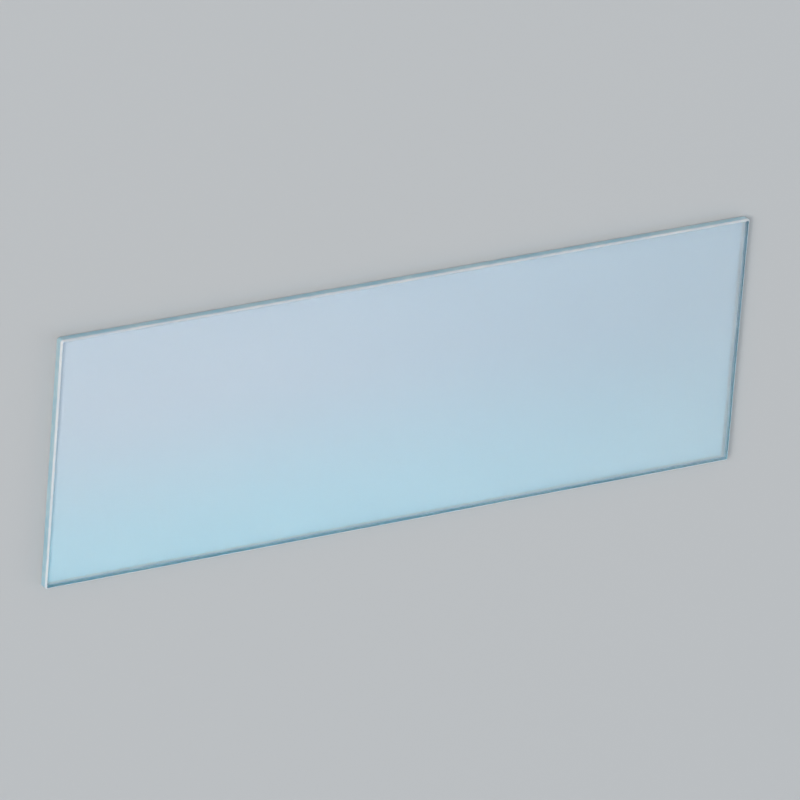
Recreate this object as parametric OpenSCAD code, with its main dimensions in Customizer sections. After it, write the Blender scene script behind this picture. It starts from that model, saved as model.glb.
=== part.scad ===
// Plain microscope slide: one pane of clear sheet glass with two polished
// faces and ground edges. It lies on its lower face.
//
// X runs along the slide, Y across it and Z up through its thickness.
// The origin is the centre of the lower face. All sizes are in millimetres.

/* [Pane] */
// Length along the long side
slide_l = 76.2; // [50:0.1:120]
// Width across the short side
slide_w = 25.4; // [18:0.1:60]
// Thickness of the glass
slide_t = 1; // [0.8:0.05:1.5]

/* [Ground edges] */
// Size of the 45 degree arris ground where an edge meets a face, measured along the face
arris = 0.15; // [0.05:0.01:0.35]
// Length taken off each corner of the outline, measured along a side
corner = 0.2; // [0.05:0.05:3]

/* [Appearance] */
// Tint of the glass seen through its thickness
tint = "lightblue"; // [lightblue:Pale blue, lightcyan:Pale cyan, paleturquoise:Turquoise, white:White]
// How much the tint hides what is behind the slide
opacity = 0.6; // [0.3:0.05:1]

/* [Hidden] */

// A rectangle centred on the origin with the same 45 degree cut at all four
// corners. It serves as the outline seen from above and as both sections.
module clipped_rect(size, cut) {
    x = size[0] / 2;
    y = size[1] / 2;
    polygon([
        [ x,       -y + cut], [ x,        y - cut],
        [ x - cut,  y      ], [-x + cut,  y      ],
        [-x,        y - cut], [-x,       -y + cut],
        [-x + cut, -y      ], [ x - cut, -y      ]
    ]);
}

// The outline seen from above, as thick as the glass.
module outline_prism() {
    linear_extrude(height = slide_t)
        clipped_rect([slide_l, slide_w], corner);
}

// The section across the slide, run along its length: it grinds the arrises
// of the two long edges.
module cross_section_prism() {
    translate([-slide_l / 2 - 1, 0, slide_t / 2])
        rotate([90, 0, 90])
            linear_extrude(height = slide_l + 2)
                clipped_rect([slide_w, slide_t], arris);
}

// The section along the slide, run across its width: it grinds the arrises
// of the two ends.
module long_section_prism() {
    translate([0, slide_w / 2 + 1, slide_t / 2])
        rotate([90, 0, 0])
            linear_extrude(height = slide_w + 2)
                clipped_rect([slide_l, slide_t], arris);
}

// The whole pane: what the outline and the two sections have in common.
module glass_slide() {
    color(tint, opacity)
        intersection() {
            outline_prism();
            cross_section_prism();
            long_section_prism();
        }
}

glass_slide();
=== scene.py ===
import math

import bpy
from mathutils import Matrix, Vector, noise


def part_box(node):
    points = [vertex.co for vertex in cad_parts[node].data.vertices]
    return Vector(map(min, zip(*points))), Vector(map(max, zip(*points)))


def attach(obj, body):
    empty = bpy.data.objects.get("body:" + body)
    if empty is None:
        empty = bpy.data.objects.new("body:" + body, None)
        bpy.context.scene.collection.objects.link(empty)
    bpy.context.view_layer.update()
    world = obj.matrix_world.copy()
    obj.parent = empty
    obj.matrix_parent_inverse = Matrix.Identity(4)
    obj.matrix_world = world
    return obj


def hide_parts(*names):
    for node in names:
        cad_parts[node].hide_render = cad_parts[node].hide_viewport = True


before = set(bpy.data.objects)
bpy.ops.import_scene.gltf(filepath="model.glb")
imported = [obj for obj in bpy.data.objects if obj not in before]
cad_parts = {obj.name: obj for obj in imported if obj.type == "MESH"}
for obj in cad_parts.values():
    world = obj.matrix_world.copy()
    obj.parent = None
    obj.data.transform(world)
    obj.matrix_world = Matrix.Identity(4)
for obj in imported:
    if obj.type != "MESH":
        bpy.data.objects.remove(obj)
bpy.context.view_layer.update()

scene = bpy.context.scene
MM = 0.001

# ------------------------------------------------------------------ sizes, mm
LO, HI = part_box("glass_slide")
L, W, T = ((HI - LO) / MM)[:]  # 76.2, 25.4 and 1.0
CX, CY, Z0 = (LO.x + HI.x) / 2 / MM, (LO.y + HI.y) / 2 / MM, LO.z / MM
ARRIS = 0.15  # width of the ground 45 degree arrises
CORNER = 0.2  # ground off each corner of the outline
ROUND = 0.022  # softness of the arris lines
NX, NY, FINE = 96, 32, 4  # cells of the faces' grid, and rim stations to a cell
CLIP = 3  # rim steps across a ground corner
BAND = 0.8  # from the rim to the grid of the faces


def wander(s, seed, scale):
    """Smooth noise, about -1 to 1, for a place s mm along the rim."""
    return noise.noise(Vector((s * scale + 0.37, seed * 7.31 + 0.11, seed * 3.7)))


def arris_width(s, seed):
    """The belt doesn't take the same off everywhere: a slow drift, a short
    unevenness, and now and then a nick a few hundredths of a mm deep."""
    drift = 0.022 * wander(s, seed, 0.045) + 0.006 * wander(s, seed + 1, 0.41)
    nick = max(0.0, wander(s, seed + 2, 1.9) - 0.5) * 0.10
    return ARRIS + drift + nick


def ring_points(inset):
    """The outline drawn in by inset mm: N places and the way out at each.
    inset may change from place to place."""
    x, y = L / 2, W / 2
    turn = (Vector((0, -1)), Vector((1, 0)), Vector((0, 1)), Vector((-1, 0)))
    places, outs, along = [], [], []
    run = 0.0
    for side in range(4):
        out = turn[side]
        go = Vector((-out.y, out.x))  # anticlockwise seen from above
        half_go = x if side % 2 == 0 else y
        half_out = y if side % 2 == 0 else x
        n = (NX if side % 2 == 0 else NY) * FINE
        length = 2 * (half_go - CORNER)
        for i in range(n + 1):
            s = run + length * i / n
            e = inset(s)
            end = half_go - e - max(CORNER - 0.586 * e, 0.0)
            at = -end + 2 * end * i / n
            places.append(out * (half_out - e) + go * at)
            outs.append(out)
            along.append(s)
        run += length
        nxt = turn[(side + 1) % 4]
        step = CORNER * math.sqrt(2)
        for i in range(1, CLIP):
            s = run + step * i / CLIP
            e = inset(s)
            c = max(CORNER - 0.586 * e, 0.0)
            a = out * (half_out - e) + nxt * (half_go - e - c)
            b = out * (half_out - e - c) + nxt * (half_go - e)
            f = i / CLIP
            bulge = (out + nxt).normalized() * c * 0.10 * math.sin(math.pi * f)
            places.append(a.lerp(b, f) + bulge)
            outs.append((out + nxt).normalized())
            along.append(s)
        run += step
    return places, outs, along


def slide_mesh():
    """The slide as one closed mesh: two flat polished faces, and a rim with a
    ground edge and two ground arrises whose width wanders a little."""
    places, outs, along = ring_points(lambda s: 0.0)
    n = len(places)
    rim_length = along[-1] + (places[0] - places[-1]).length

    # Levels of the rim from the upper face down to the lower one. Each is
    # (inset, height) as a function of the place along the rim.
    def level(top, corner, f):
        """A point of the rounded arris line: corner 0 is where the arris meets
        the polished face and corner 1 where it meets the edge."""

        def at(s):
            a = arris_width(s, 1.0 if top else 5.0)
            q = ROUND
            d = q / math.sqrt(2)
            if corner == 0:
                p0, p1, p2 = (a + q, 0.0), (a, 0.0), (a - d, d)
            else:
                p0, p1, p2 = (d, a - d), (0.0, a), (0.0, a + q)
            g = 1 - f
            e = g * g * p0[0] + 2 * g * f * p1[0] + f * f * p2[0]
            z = g * g * p0[1] + 2 * g * f * p1[1] + f * f * p2[1]
            return e, (T - z if top else z)

        return at

    def flat(f):
        def at(s):
            hi = T - arris_width(s, 1.0) - ROUND
            lo = arris_width(s, 5.0) + ROUND
            return 0.0, hi + (lo - hi) * f

        return at

    levels = [level(True, 0, f) for f in (0, 1 / 3, 2 / 3, 1)]
    levels += [level(True, 1, f) for f in (0, 1 / 3, 2 / 3, 1)]
    levels += [flat(f) for f in (0.25, 0.5, 0.75)]
    levels += [level(False, 1, f) for f in (1, 2 / 3, 1 / 3, 0)]
    levels += [level(False, 0, f) for f in (1, 2 / 3, 1 / 3, 0)]

    verts, arc = [], []
    rows = []
    for k, at in enumerate(levels):
        pts, outs, along = ring_points(lambda s: at(s)[0])
        row = []
        for i, p in enumerate(pts):
            e, z = at(along[i])
            if 0 < k < len(levels) - 1:  # unevenness of the ground surface
                depth = 0.0025 * (1 + wander(along[i], 11 + 0.6 * k, 2.3))
                if 7 <= k <= 11 and wander(along[i], 40, 0.2) > 0.3:
                    depth = 0.0
                p = p - outs[i] * depth
            row.append(len(verts))
            verts.append((p.x, p.y, z))
            arc.append(sum(((Vector((levels[j](along[i])) ) - Vector(levels[j - 1](along[i]))).length) for j in range(1, k + 1)))
        rows.append(row)

    faces, finish, uvs = [], [], []

    def add(loop, kind, uv):
        faces.append(loop)
        finish.append(kind)
        uvs.append(uv)

    for k in range(len(rows) - 1):
        for i in range(n):
            j = (i + 1) % n
            s0 = along[i]
            s1 = along[j] if j else rim_length
            a, b, c, d = rows[k][i], rows[k + 1][i], rows[k + 1][j], rows[k][j]
            kind = "edge" if 7 <= k <= 10 else "arris"
            add((a, b, c, d), kind, ((s0, arc[a]), (s0, arc[b]), (s1, arc[c]), (s1, arc[d])))

    # The two faces: a regular grid, tied to the rim's finer stations.
    for row, z, up in ((rows[0], T, True), (rows[-1], 0.0, False)):
        gx, gy = L / 2 - BAND, W / 2 - BAND
        grid = {}
        for iy in range(NY + 1):
            for ix in range(NX + 1):
                grid[ix, iy] = len(verts)
                verts.append((-gx + 2 * gx * ix / NX, -gy + 2 * gy * iy / NY, z))

        def put(loop):
            if not up:
                loop = loop[::-1]
            add(tuple(loop), "face", tuple((verts[v][0], verts[v][1]) for v in loop))

        for iy in range(NY):
            for ix in range(NX):
                put([grid[ix, iy], grid[ix + 1, iy], grid[ix + 1, iy + 1], grid[ix, iy + 1]])
        start = 0
        for side in range(4):
            cells = NX if side % 2 == 0 else NY
            inner = {
                0: [grid[i, 0] for i in range(NX + 1)],
                1: [grid[NX, i] for i in range(NY + 1)],
                2: [grid[NX - i, NY] for i in range(NX + 1)],
                3: [grid[0, NY - i] for i in range(NY + 1)],
            }[side]
            half = FINE // 2
            for c in range(cells):
                outer = [row[start + c * FINE + i] for i in range(FINE + 1)]
                for i in range(FINE):
                    put([outer[i], outer[i + 1], inner[c] if i < half else inner[c + 1]])
                put([outer[half], inner[c + 1], inner[c]])
            start += cells * FINE
            corner = [row[(start + i) % n] for i in range(CLIP + 1)]
            for i in range(CLIP):
                put([corner[i], corner[i + 1], inner[-1]])
            start += CLIP
    return verts, faces, finish, uvs


def build_slide():
    verts, faces, finish, uvs = slide_mesh()
    me = bpy.data.meshes.new("glass_pane")
    me.from_pydata([((x + CX) * MM, (y + CY) * MM, (z + Z0) * MM) for x, y, z in verts], [], faces)
    layer = me.uv_layers.new(name="slide_map")
    flat = [c / 10 for poly in uvs for uv in poly for c in uv]
    layer.data.foreach_set("uv", flat)
    for name, kinds in (("ground", ("edge", "arris")), ("arris", ("arris",))):
        mark = me.attributes.new(name, "FLOAT", "FACE")
        mark.data.foreach_set("value", [float(f in kinds) for f in finish])
    me.polygons.foreach_set("use_smooth", [f != "face" for f in finish])
    me.validate()
    me.update()
    ob = bpy.data.objects.new("glass_pane", me)
    scene.collection.objects.link(ob)
    return ob


# --------------------------------------------------------------- glass finish
def glass_material():
    mat = bpy.data.materials.new("slide_glass")
    mat.use_nodes = True
    nt = mat.node_tree
    nt.nodes.clear()
    new, link = nt.nodes.new, nt.links.new

    out = new("ShaderNodeOutputMaterial")
    bsdf = new("ShaderNodeBsdfPrincipled")
    bsdf.inputs["IOR"].default_value = 1.52
    bsdf.inputs["Transmission Weight"].default_value = 1.0
    link(bsdf.outputs["BSDF"], out.inputs["Surface"])

    volume = new("ShaderNodeVolumeAbsorption")
    volume.inputs["Color"].default_value = (0.30, 0.76, 0.82, 1)
    volume.inputs["Density"].default_value = 42.0
    link(volume.outputs["Volume"], out.inputs["Volume"])

    mark = new("ShaderNodeAttribute")
    mark.attribute_name = "ground"
    seam = new("ShaderNodeAttribute")
    seam.attribute_name = "arris"
    where = new("ShaderNodeUVMap")
    where.uv_map = "slide_map"  # 1 unit is 10 mm; on the rim, along it and round it
    place = new("ShaderNodeTexCoord")

    def noise_tex(vector, scale, size, detail=2.0, rough=0.5):
        mapping = new("ShaderNodeMapping")
        mapping.inputs["Scale"].default_value = scale
        link(vector, mapping.inputs["Vector"])
        tex = new("ShaderNodeTexNoise")
        tex.inputs["Scale"].default_value = size
        tex.inputs["Detail"].default_value = detail
        tex.inputs["Roughness"].default_value = rough
        link(mapping.outputs["Vector"], tex.inputs["Vector"])
        return tex.outputs["Fac"]

    def ranged(value, low, high, to_low, to_high):
        node = new("ShaderNodeMapRange")
        node.inputs["From Min"].default_value = low
        node.inputs["From Max"].default_value = high
        node.inputs["To Min"].default_value = to_low
        node.inputs["To Max"].default_value = to_high
        link(value, node.inputs["Value"])
        return node.outputs["Result"]

    def mixed(kind, factor, a, b):
        node = new("ShaderNodeMix")
        node.data_type = kind
        i = {"FLOAT": (2, 3, 0), "RGBA": (6, 7, 2)}[kind]
        link(factor, node.inputs[0])
        for value, socket in ((a, node.inputs[i[0]]), (b, node.inputs[i[1]])):
            if isinstance(value, bpy.types.NodeSocket):
                link(value, socket)
            else:
                socket.default_value = value
        return node.outputs[i[2]]

    # Wheel lines run along the rim; grit pits lie between them.
    lines = noise_tex(where.outputs["UV"], (0.35, 14.0, 1.0), 30.0, 3.0, 0.6)
    grit = noise_tex(where.outputs["UV"], (1.0, 1.0, 1.0), 180.0, 2.0, 0.6)
    worn = noise_tex(where.outputs["UV"], (1.0, 1.0, 1.0), 1.7, 2.0, 0.5)
    mottle = noise_tex(where.outputs["UV"], (1.0, 3.0, 1.0), 11.0, 3.0, 0.6)
    # The faces: an invisible film of handling, left by wiping along the slide.
    film = noise_tex(place.outputs["Object"], (30.0, 90.0, 30.0), 1.0, 3.0, 0.55)

    matt = ranged(worn, 0.3, 0.7, 0.36, 0.50)
    clear = ranged(film, 0.35, 0.75, 0.0, 0.02)
    link(mixed("FLOAT", mark.outputs["Fac"], clear, matt), bsdf.inputs["Roughness"])

    # The wheel cuts deeper here and there, so the matt surface is a little uneven.
    cut = new("ShaderNodeMath")
    cut.operation = "ADD"
    link(worn, cut.inputs[0])
    link(mottle, cut.inputs[1])
    tone = ranged(cut.outputs[0], 0.78, 1.22, 0.0, 1.0)
    edge = mixed("RGBA", tone, (0.48, 0.79, 0.93, 1), (0.74, 0.95, 1.0, 1))
    bevel = mixed("RGBA", tone, (0.80, 0.88, 0.95, 1), (0.99, 1.0, 1.0, 1))
    tint = mixed("RGBA", seam.outputs["Fac"], edge, bevel)
    link(mixed("RGBA", mark.outputs["Fac"], (1, 1, 1, 1), tint), bsdf.inputs["Base Color"])

    # Ground glass scatters part of the light at its broken surface.
    frost = mixed("FLOAT", seam.outputs["Fac"], 0.38, 0.3)
    link(mixed("FLOAT", mark.outputs["Fac"], 1.0, frost), bsdf.inputs["Transmission Weight"])

    height = new("ShaderNodeMath")
    height.operation = "MULTIPLY_ADD"
    link(lines, height.inputs[0])
    height.inputs[1].default_value = 0.7
    link(grit, height.inputs[2])
    relief = new("ShaderNodeMath")
    relief.operation = "MULTIPLY"
    link(height.outputs[0], relief.inputs[0])
    link(mark.outputs["Fac"], relief.inputs[1])
    bump = new("ShaderNodeBump")
    bump.inputs["Strength"].default_value = 0.5
    bump.inputs["Distance"].default_value = 0.012 * MM
    link(relief.outputs[0], bump.inputs["Height"])
    link(bump.outputs["Normal"], bsdf.inputs["Normal"])
    return mat


slide = build_slide()
slide.data.materials.append(glass_material())
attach(slide, "root")
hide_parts("glass_slide")


# ------------------------------------------------------------------ the stage
def floor():
    """A plain pale floor, wide enough to fill even a view along it."""
    rings, turns = (0.15, 0.4, 1.0, 2.5, 6.0, 14.0), 64
    verts, faces = [(0, 0, 0)], []
    for rad in rings:
        for i in range(turns):
            a = 2 * math.pi * i / turns
            verts.append((rad * math.cos(a), rad * math.sin(a), 0))
    for i in range(turns):
        faces.append((0, 1 + i, 1 + (i + 1) % turns))
    for k in range(len(rings) - 1):
        b = 1 + k * turns
        for i in range(turns):
            j = (i + 1) % turns
            faces.append((b + i, b + turns + i, b + turns + j, b + j))
    me = bpy.data.meshes.new("floor")
    me.from_pydata(verts, [], faces)
    me.update()
    ob = bpy.data.objects.new("floor", me)
    ob.location.z = LO.z - 0.03 * MM  # a slide never lies closer than its own dust
    mat = bpy.data.materials.new("floor_card")
    mat.use_nodes = True
    b = mat.node_tree.nodes["Principled BSDF"]
    b.inputs["Base Color"].default_value = (*FLOOR, 1)
    b.inputs["Roughness"].default_value = 0.8
    b.inputs["Specular IOR Level"].default_value = 0.15
    me.materials.append(mat)
    scene.collection.objects.link(ob)


FLOOR = (0.572, 0.579, 0.582)
floor()


def softbox(name, toward, distance, size, core, power, colour):
    """A round soft light that faces the slide from that direction. Outside its
    core, a part of size, it fades out towards its border, so its mirror image
    in the glass has no outline."""
    data = bpy.data.lights.new(name, "AREA")
    data.shape = "SQUARE"
    data.size = size
    data.energy = power
    data.color = colour
    data.use_nodes = True
    nt = data.node_tree
    new, link = nt.nodes.new, nt.links.new
    at = new("ShaderNodeNewGeometry")
    centred = new("ShaderNodeVectorMath")
    centred.operation = "SUBTRACT"
    link(at.outputs["Parametric"], centred.inputs[0])
    centred.inputs[1].default_value = (0.5, 0.5, 0.0)
    reach = new("ShaderNodeVectorMath")
    reach.operation = "LENGTH"
    link(centred.outputs["Vector"], reach.inputs[0])
    fade = new("ShaderNodeMapRange")
    fade.interpolation_type = "SMOOTHSTEP"
    for label, v in (("From Min", core), ("From Max", 0.5), ("To Min", 1.0), ("To Max", 0.0)):
        fade.inputs[label].default_value = v
    link(reach.outputs["Value"], fade.inputs["Value"])
    link(fade.outputs["Result"], nt.nodes["Emission"].inputs["Strength"])
    ob = bpy.data.objects.new(name, data)
    way = Vector(toward).normalized()
    ob.location = way * distance
    ob.rotation_mode = "QUATERNION"
    ob.rotation_quaternion = way.to_track_quat("Z", "Y")
    scene.collection.objects.link(ob)
    return ob


VIEW = Vector((-0.5026, 0.4041, 0.7643)).normalized()
softbox("key", (-1.05, 0.32, 0.95), 3.6, 2.4, 0.1, 242, (1.0, 0.99, 0.975))
softbox("fill", (1.0, -0.45, 0.42), 3.0, 1.8, 0.3, 29, (0.97, 0.985, 1.0))


def sheen_panel():
    """A big diffusing sheet whose mirror image lies on the slide's face in the
    main view. Like any softbox it is brightest in its middle and fades out
    towards its border."""
    way = Vector((-VIEW.x, -VIEW.y, VIEW.z))
    half = 0.45
    me = bpy.data.meshes.new("sheen_panel")
    me.from_pydata([(-half, -half, 0), (half, -half, 0), (half, half, 0), (-half, half, 0)], [], [(0, 1, 2, 3)])
    ob = bpy.data.objects.new("sheen_panel", me)
    side = Vector((0, 0, 1)).cross(way).normalized()
    top = way.cross(side)
    axes = Matrix((side, top, way)).transposed().to_4x4()
    ob.matrix_world = Matrix.Translation(way * 1.8) @ axes
    mat = bpy.data.materials.new("diffusing_sheet")
    mat.use_nodes = True
    nt = mat.node_tree
    nt.nodes.clear()
    new, link = nt.nodes.new, nt.links.new
    at = new("ShaderNodeTexCoord")

    def dot(vector, offset):
        node = new("ShaderNodeVectorMath")
        node.operation = "DOT_PRODUCT"
        link(at.outputs["Object"], node.inputs[0])
        node.inputs[1].default_value = vector
        add = new("ShaderNodeMath")
        add.operation = "ADD"
        link(node.outputs["Value"], add.inputs[0])
        add.inputs[1].default_value = offset
        return add.outputs[0]

    def smooth(value, a, b, c, d):
        node = new("ShaderNodeMapRange")
        node.interpolation_type = "SMOOTHSTEP"
        for name, v in (("From Min", a), ("From Max", b), ("To Min", c), ("To Max", d)):
            node.inputs[name].default_value = v
        link(value, node.inputs["Value"])
        return node.outputs["Result"]

    def tinted(factor, a, b):
        node = new("ShaderNodeMix")
        node.data_type = "RGBA"
        link(factor, node.inputs[0])
        for value, socket in ((a, node.inputs[6]), (b, node.inputs[7])):
            if isinstance(value, tuple):
                socket.default_value = value
            else:
                link(value, socket)
        return node.outputs[2]

    # Where a place on the sheet shows in the slide's face, in mm from its centre.
    along = dot((230.9, -375.5, 0), 0.0)
    across = dot((287.0, 302.0, 0), 0.0)
    level = smooth(along, -20.0, 70.0, SHEEN, SHEEN * 0.46)
    turn = smooth(along, -30.0, 45.0, 0.0, 1.0)
    drop = smooth(across, 6.0, -12.0, 0.0, 1.0)
    reach = new("ShaderNodeVectorMath")
    reach.operation = "LENGTH"
    link(at.outputs["Object"], reach.inputs[0])
    fade = new("ShaderNodeMath")
    fade.operation = "MULTIPLY"
    link(level, fade.inputs[0])
    link(smooth(reach.outputs["Value"], 0.14, 0.43, 1.0, 0.0), fade.inputs[1])
    upper = tinted(turn, (0.27, 0.46, 0.71, 1), (0.02, 0.375, 0.725, 1))
    lower = tinted(turn, (0.0, 0.59, 0.88, 1), (0.0, 0.615, 0.98, 1))
    face = new("ShaderNodeNewGeometry")
    front = new("ShaderNodeMath")
    front.operation = "MULTIPLY"
    link(fade.outputs[0], front.inputs[0])
    link(face.outputs["Backfacing"], front.inputs[1])
    glow = new("ShaderNodeEmission")
    link(tinted(drop, upper, lower), glow.inputs["Color"])
    link(front.outputs[0], glow.inputs["Strength"])
    # The unlit border lets the sky through, so it leaves no outline in the glass.
    through = new("ShaderNodeBsdfTransparent")
    both = new("ShaderNodeAddShader")
    link(glow.outputs[0], both.inputs[0])
    link(through.outputs[0], both.inputs[1])
    out = new("ShaderNodeOutputMaterial")
    link(both.outputs[0], out.inputs["Surface"])
    me.materials.append(mat)
    scene.collection.objects.link(ob)


SHEEN = 3.4
sheen_panel()

def sky():
    """Soft light from all round, a little stronger from above."""
    world = bpy.data.worlds.new("studio")
    world.use_nodes = True
    nt = world.node_tree
    new, link = nt.nodes.new, nt.links.new
    at = new("ShaderNodeTexCoord")
    part = new("ShaderNodeSeparateXYZ")
    link(at.outputs["Generated"], part.inputs[0])
    ramp = new("ShaderNodeMapRange")
    ramp.interpolation_type = "SMOOTHSTEP"
    ramp.inputs["From Min"].default_value = 0.0
    ramp.inputs["From Max"].default_value = 0.9
    link(part.outputs["Z"], ramp.inputs["Value"])
    mix = new("ShaderNodeMix")
    mix.data_type = "RGBA"
    link(ramp.outputs["Result"], mix.inputs[0])
    mix.inputs[6].default_value = (0.40, 0.41, 0.425, 1)
    mix.inputs[7].default_value = (0.455, 0.465, 0.48, 1)
    link(mix.outputs[2], nt.nodes["Background"].inputs["Color"])
    nt.nodes["Background"].inputs["Strength"].default_value = 1.0
    scene.world = world


sky()

# ----------------------------------------------------------------- the camera
# The view of the standing slide, carried over to the lying one: the same
# direction in the slide's own frame, and the same turn about the line of sight.
right = Vector((0.8504, 0.0716, 0.5213))
back = VIEW
right = (right - back * right.dot(back)).normalized()
up = back.cross(right)
cam_data = bpy.data.cameras.new("camera")
cam_data.sensor_width = 36
cam_data.lens = 500
cam_data.clip_start, cam_data.clip_end = 0.01, 20
cam = bpy.data.objects.new("camera", cam_data)
target = Vector(((LO.x + HI.x) / 2, (LO.y + HI.y) / 2, (LO.z + HI.z) / 2))
axes = Matrix((right, up, back)).transposed().to_4x4()
cam.matrix_world = Matrix.Translation(target + back * 1.05) @ axes
scene.collection.objects.link(cam)
scene.camera = cam

scene.view_settings.view_transform = "Standard"
scene.cycles.max_bounces = 48
scene.cycles.glossy_bounces = 48
scene.cycles.transmission_bounces = 48
scene.cycles.blur_glossy = 0.0
scene.cycles.sample_clamp_indirect = 0.0
